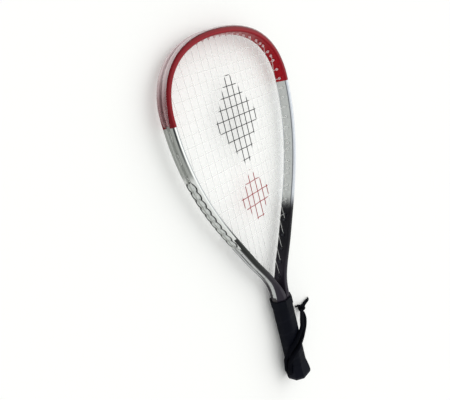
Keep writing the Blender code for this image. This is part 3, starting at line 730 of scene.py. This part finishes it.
tape = Finish("grip_polyurethane")
where = tape.where()
cells = tape.node("TexVoronoi", {"Vector": where, "Scale": 900.0}, feature="DISTANCE_TO_EDGE")
pebble = tape.ramp(cells.outputs["Distance"], 0.0, 0.25)
soil = tape.noise(where, 40.0, 4.0)
dark = tape.over(soil, colour(9, 12, 24), colour(6, 8, 17))
# The grain's crevices are painted darker: painted shade.
dark = tape.over(tape.both(tape.calc("SUBTRACT", 1.0, pebble), 0.5), colour(3, 4, 8), dark)
rubbed = tape.between(tape.reading("lap"), *LAP_RUBBED, 0.02)
dark = tape.over(tape.both(rubbed, 0.12), colour(22, 24, 36), dark)
tape.set(Base_Color=dark, Specular_IOR_Level=0.06)
tape.set(Roughness=tape.level(rubbed, 0.45, tape.level(soil, 0.60, 0.50)))
padding = tape.bump(tape.noise(where, 260.0, 3.0), 0.00012)
tape.set(Normal=tape.bump(pebble, 0.00010, 0.8, padding))
tape.put_on(wrap)
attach(wrap, "root")
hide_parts("grip_wrap")

# ---------------------------------------------------------------------------
# Collar: a ribbed rubber band, moulded in one piece and stretched over the upper end of the tape
# to hold it down. It has a faint grey bloom.

band = Finish("collar_rubber")
where = band.where()
bloom = band.noise(where, 70.0, 4.0)
band.set(Base_Color=band.over(bloom, colour(11, 13, 22), colour(7, 9, 16)))
band.set(Roughness=band.level(bloom, 0.62, 0.5), Specular_IOR_Level=0.06)
ribs = band.node("TexWave", {"Vector": where, "Scale": 260.0}, bands_direction="Y").outputs["Fac"]
pores = band.bump(band.noise(where, 1500.0), 0.00003)
band.set(Normal=band.bump(ribs, 0.00006, 0.5, pores))
band.put_on(nodes["grip_collar"])

# ---------------------------------------------------------------------------
# Butt cap: moulded rubber over the handle's end, flared to stop the hand, with a slot in its left
# side for the cord. It is worn a little grey round the rim at its end.

RIM_WEAR = (0.0006, 0.0045)

rubber = Finish("cap_rubber")
where = rubber.where()
_, away, _ = rubber.measured(where)
mottle = rubber.noise(where, 55.0, 4.0)
at_rim = rubber.between(away, *RIM_WEAR, 0.0016)
wear = rubber.both(at_rim, rubber.noise(where, 240.0, 5.0, 0.7))
dark = rubber.over(mottle, colour(11, 13, 25), colour(7, 9, 18))
rubber.set(Base_Color=rubber.over(rubber.both(wear, 0.75), colour(70, 69, 76), dark))
rubber.set(Roughness=rubber.level(mottle, 0.62, 0.52), Specular_IOR_Level=0.07)
rubber.set(Normal=rubber.bump(rubber.noise(where, 1300.0, 3.0), 0.00006))
rubber.put_on(nodes["butt_cap"])

# ---------------------------------------------------------------------------
# Wrist cord: one soft braided cord, both ends bonded in the cap's slot. Its two strands cross the
# grip side by side, fall off its right side and are tied together on the floor.

CORD_RADIUS = 0.0028
FUZZ = 0.0002
CORD_STEP = 0.0005
CORD_SIDES = 40
YARNS = 8
YARN_LAY = 0.0150
YARN_RELIEF = 0.00034
YARN_MEAN = 0.8
YARN_BENEATH = 0.35
STRAND_DROP = 0.0064
SLOT_MOUTH = (-0.0185, -0.2652, 0.0144)
SLOT_OUT = (-0.5, 0.8660254, 0.0)
SLOT_DEPTHS = (0.0097, 0.0, -0.006)
# A strand's middle runs this far out of the grip's middle, and this high where it is on the floor.
OVER_GRIP_ACROSS = 0.0206
OVER_GRIP_UP = 0.0183
ON_FLOOR = 0.0031
UPPER_ON_GRIP = [
    (-1.02, 0.0265, -0.25), (-1.01, 0.035, -0.22), (-1.005, 0.042, -0.14), (-1.0, 0.048, 0.09),
    (-1.0, 0.053, 0.31), (-0.937, 0.0577, 0.50), (-0.79, 0.0625, 0.68), (-0.65, 0.0670, 0.845),
    (-0.36, 0.0726, 0.995), (0.07, 0.0775, 1.0), (0.46, 0.0815, 0.995), (0.84, 0.0846, 0.88),
]
UPPER_BESIDE = [
    (0.0065, 0.0862, 0.0258), (0.0187, 0.0868, 0.0189), (0.0292, 0.0866, 0.0124),
    (0.0373, 0.0856, 0.0074),
]
LOWER_ON_GRIP = [
    (-1.02, 0.026, 0.11), (-1.0, 0.0335, 0.155), (-0.995, 0.039, 0.31), (-0.932, 0.044, 0.515),
    (-0.796, 0.0488, 0.675), (-0.65, 0.0537, 0.845), (-0.40, 0.058, 0.995), (-0.07, 0.0622, 1.0),
    (0.27, 0.0668, 1.0), (0.583, 0.0706, 0.962),
]
LOWER_BESIDE = [
    (0.0015, 0.0730, 0.0297), (0.0103, 0.0739, 0.0264), (0.0202, 0.0745, 0.0214),
    (0.0301, 0.0757, 0.0159), (0.0369, 0.0772, 0.0104), (0.0413, 0.0794, 0.0057),
]

braid = Finish("cord_braid")
where = braid.where()
fibre = braid.node(
    "TexWave", {"Vector": where, "Scale": 900.0, "Distortion": 3.0}, bands_direction="DIAGONAL")
lint = braid.noise(where, 380.0, 4.0, 0.7)
# The cord is painted darker where the yarns dip between each other: painted shade.
thread = braid.over(braid.reading("yarn"), colour(8, 9, 16), colour(2, 2, 4))
thread = braid.over(braid.both(lint, 0.06), colour(34, 36, 46), thread)
braid.set(Base_Color=thread, Roughness=0.85, Specular_IOR_Level=0.04)
braid.set(Normal=braid.bump(fibre.outputs["Fac"], 0.00006, 0.7, braid.bump(lint, 0.00012)))


def out_of_slot(depth, side):
    """A place in the slot at a depth behind its mouth, on the strand's own side."""
    middle = [mouth - out * depth for mouth, out in zip(SLOT_MOUTH, SLOT_OUT)]
    return (middle[0], middle[1], middle[2] + side * STRAND_DROP / 2)


def over_grip(across, away, up):
    return (across * OVER_GRIP_ACROSS, BUTT + away, MID + up * OVER_GRIP_UP)


def beside_grip(out, away, height):
    return (GRIP_HALF_WIDTH + out, BUTT + away, ON_FLOOR + height)


def strand_route(side, on_grip, beside):
    """A strand's way out of the slot, over the grip and down to the knot."""
    route = [out_of_slot(depth, side) for depth in SLOT_DEPTHS]
    route += [over_grip(*spot) for spot in on_grip]
    return route + [beside_grip(*spot) for spot in beside]


def eased(points):
    """Points a step apart on a smooth line through the given ones."""
    points = np.array(points, float)
    for _ in range(2):
        finer = np.zeros((len(points) * 2 - 1, 3))
        finer[0::2] = points
        finer[1::2] = (points[1:] + points[:-1]) / 2
        points = finer.copy()
        points[2:-2:2] = (finer[1:-3:2] + 2 * finer[2:-2:2] + finer[3:-1:2]) / 4
    gaps = np.linalg.norm(np.diff(points, axis=0), axis=1)
    lengths = np.concatenate([[0], np.cumsum(gaps)])
    at = np.linspace(0, lengths[-1], round(lengths[-1] / CORD_STEP) + 1)
    return np.stack([np.interp(at, lengths, points[:, axis]) for axis in range(3)], axis=1)


def yarn_heights(count, along):
    """How high the yarns stand, at so many points round the cord for each place along it. Half
    wind to the right and half to the left, and they cross over and under each other in turn."""
    round_it = np.arange(count) / count
    right = (round_it * YARNS + along) % 2.0
    left = (round_it * YARNS - along) % 2.0
    right_high = np.sqrt(np.clip(1 - (right % 1.0 * 2 - 1) ** 2, 0, 1))
    left_high = np.sqrt(np.clip(1 - (left % 1.0 * 2 - 1) ** 2, 0, 1))
    right_on_top = (np.floor(right) + np.floor(left)) % 2
    return np.where(
        right_on_top == 1,
        np.maximum(right_high, YARN_BENEATH * left_high),
        np.maximum(left_high, YARN_BENEATH * right_high))


def braided(name, route, radius=CORD_RADIUS + FUZZ, taper=None):
    """A braided cord along a route, with its line. A taper gives its width from end to end."""
    line = eased(route)
    bpy.ops.curve.primitive_bezier_curve_add(location=(0, 0, 0))
    tube = bpy.context.object
    tube.name = name
    tube.data.splines.clear()
    spline = tube.data.splines.new("POLY")
    spline.points.add(len(line) - 1)
    shares = np.ones(len(line))
    if taper is not None:
        shares = np.interp(np.linspace(0, 1, len(line)), *taper)
    for point, place, share in zip(spline.points, line, shares):
        point.co = (*place, 1)
        point.radius = share
    tube.data.twist_mode = "MINIMUM"
    tube.data.bevel_depth = radius
    tube.data.bevel_resolution = CORD_SIDES // 4 - 1
    take(tube)
    bpy.ops.object.convert(target="MESH")
    tube = bpy.context.object
    rings = points_of(tube).reshape(len(line), -1, 3)
    along = np.arange(len(line))[:, None] * CORD_STEP / YARN_LAY * YARNS / 2
    high = yarn_heights(rings.shape[1], along)
    out = rings - line[:, None, :]
    size = np.maximum(np.linalg.norm(out, axis=2, keepdims=True), 1e-9)
    relief = (high[:, :, None] - YARN_MEAN) * YARN_RELIEF * shares[:, None, None]
    rings = rings + out / size * relief
    move_points(tube, rings.reshape(-1, 3))
    carry(tube, "yarn", high.ravel())
    close_ends(tube)
    bpy.ops.object.shade_smooth()
    braid.put_on(tube)
    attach(tube, "root")
    return tube, line


upper, upper_line = braided("cord_upper", strand_route(-1, UPPER_ON_GRIP, UPPER_BESIDE))
lower, lower_line = braided("cord_lower", strand_route(1, LOWER_ON_GRIP, LOWER_BESIDE))

# Knot: both strands go through two turns of the cord, pulled tight.
KNOT = (GRIP_HALF_WIDTH + 0.0449, BUTT + 0.0855, ON_FLOOR + 0.0029)
KNOT_LENGTH = 0.0062
KNOT_TURN = (0.0036, 0.0031)
KNOT_CORD_RADIUS = 0.0024
KNOT_POINTS = 26
knot_route = [
    (
        KNOT[0] - KNOT_LENGTH / 2 + KNOT_LENGTH * index / (KNOT_POINTS - 1),
        KNOT[1] + KNOT_TURN[0] * math.cos(turn),
        KNOT[2] + KNOT_TURN[1] * math.sin(turn),
    )
    for index, turn in enumerate(np.linspace(-0.5, 1.5, KNOT_POINTS) * 2 * math.pi)
]
knot, _ = braided("cord_tie", knot_route, radius=KNOT_CORD_RADIUS)

# Tails: the cord's two ends past the knot, cut and left to fray.
LONG_TAIL = [
    (0.0526, 0.0856, 0.0016), (0.0582, 0.0863, 0.0004), (0.0652, 0.0863, 0.0),
    (0.0715, 0.0866, 0.0),
]
SHORT_TAIL = [(0.0403, 0.0918, 0.0016), (0.0372, 0.0931, 0.0005), (0.0332, 0.0945, 0.0)]
FIBRE_RADIUS = 0.00034
FIBRE_POINTS = 6
FIBRE_DROOP = 0.0016
FIBRE_LOWEST = 0.0005
FIBRE_ROOT = 0.0014
BUNDLE_RADIUS = 0.0015
GOLDEN_TURN = 2.399963

long_route = [(KNOT[0] - 0.002, KNOT[1], KNOT[2])]
long_route += [beside_grip(*spot) for spot in LONG_TAIL]
short_route = [(KNOT[0] - 0.001, KNOT[1] + 0.001, KNOT[2])]
short_route += [beside_grip(*spot) for spot in SHORT_TAIL]
long_taper = ([0, 0.6, 0.9, 1], [1, 1, 0.9, 0.6])
short_taper = ([0, 0.5, 1], [1, 0.85, 0.3])
long_tail, long_line = braided("cord_end_long", long_route, taper=long_taper)
short_tail, short_line = braided("cord_end_short", short_route, taper=short_taper)


def fray(tail, line, count, reach, spread):
    """Loose yarn ends that fan out of a cut tail and droop to the floor, joined to it."""
    end = line[-1]
    ahead = (line[-1] - line[-5]) / np.linalg.norm(line[-1] - line[-5])
    aside = np.array([-ahead[1], ahead[0], 0.0])
    bpy.ops.curve.primitive_bezier_curve_add(location=(0, 0, 0))
    fibres = bpy.context.object
    fibres.data.splines.clear()
    fibres.data.bevel_depth = FIBRE_RADIUS
    fibres.data.bevel_resolution = 1
    fibres.data.use_fill_caps = True
    for index in range(count):
        turn = GOLDEN_TURN * index
        size = math.sqrt((index + 0.5) / count)
        out = aside * math.cos(turn) + np.array([0, 0, math.sin(turn)])
        start = end - ahead * FIBRE_ROOT + out * BUNDLE_RADIUS * size
        length = reach * (0.55 + 0.45 * abs(math.sin(index * 1.7)))
        lean = spread * size * math.cos(turn)
        spline = fibres.data.splines.new("POLY")
        spline.points.add(FIBRE_POINTS - 1)
        for point, share in zip(spline.points, np.linspace(0, 1, FIBRE_POINTS)):
            place = start + (ahead + aside * lean * share) * length * share
            place[2] = max(FIBRE_LOWEST, place[2] - FIBRE_DROOP * share * share)
            point.co = (*place, 1)
            point.radius = 1 - 0.6 * share
    take(fibres)
    bpy.ops.object.convert(target="MESH")
    fibres = bpy.context.object
    braid.put_on(fibres)
    take(fibres)
    bpy.ops.object.shade_smooth()
    tail.select_set(True)
    bpy.context.view_layer.objects.active = tail
    bpy.ops.object.join()


fray(long_tail, long_line, count=34, reach=0.0052, spread=0.55)
fray(short_tail, short_line, count=9, reach=0.0026, spread=0.30)
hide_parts("wrist_cord_upper")
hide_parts("wrist_cord_lower")
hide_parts("cord_knot")
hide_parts("cord_tail_long")
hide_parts("cord_tail_short")

# ---------------------------------------------------------------------------
# Studio: the racket lies on a plain white sweep under a large soft light from the right, seen from
# above on its left.

SWEEP_GLOW = 0.06
SKY_LIGHT = 0.80
SKY_GLOW = 0.20


def shown(tree):
    """1 for rays from the camera, also by way of shiny and clear surfaces, and 0 for the light
    that falls on the racket."""
    rays = tree.nodes.new("ShaderNodeLightPath").outputs
    seen = rays["Is Camera Ray"]
    for ray in ("Is Glossy Ray", "Is Transmission Ray"):
        added = tree.nodes.new("ShaderNodeMath")
        added.use_clamp = True
        tree.links.new(seen, added.inputs[0])
        tree.links.new(rays[ray], added.inputs[1])
        seen = added.outputs[0]
    return seen


# The sweep and the sky are white where they are seen. The sky's own light is a little lower.
bpy.ops.mesh.primitive_plane_add(size=6, location=(0, 0, 0))
ground = bpy.context.object
ground.name = "floor"
sweep = Finish("white_sweep")
sweep.set(Base_Color=(1.0, 1.0, 0.99), Roughness=0.95, Specular_IOR_Level=0.0)
sweep.set(Emission_Color=(0.98, 1.0, 0.98))
sweep.set(Emission_Strength=sweep.calc("MULTIPLY", shown(sweep.tree), SWEEP_GLOW))
sweep.put_on(ground)

world = bpy.data.worlds.new("studio")
bpy.context.scene.world = world
world.use_nodes = True
sky = world.node_tree
background = sky.nodes["Background"]
background.inputs["Color"].default_value = (0.99, 1.0, 0.985, 1)
strength = sky.nodes.new("ShaderNodeMath")
strength.operation = "MULTIPLY_ADD"
strength.inputs[1].default_value = SKY_GLOW
strength.inputs[2].default_value = SKY_LIGHT
sky.links.new(shown(sky), strength.inputs[0])
sky.links.new(strength.outputs[0], background.inputs["Strength"])

bpy.ops.object.light_add(type="SUN", location=(1.2, 0.4, 1.6))
key = bpy.context.object
key.rotation_euler = (math.radians(-12), math.radians(45), 0)
key.data.energy = 0.7
key.data.angle = math.radians(60)

bpy.ops.object.camera_add(location=(-0.55153, 0.24348, 0.47404))
camera = bpy.context.object
camera.rotation_euler = (0.004312628, -0.849856684, -0.377041847)
camera.data.sensor_width = 36
camera.data.lens = 40
bpy.context.scene.camera = camera
bpy.context.scene.view_settings.view_transform = "Standard"
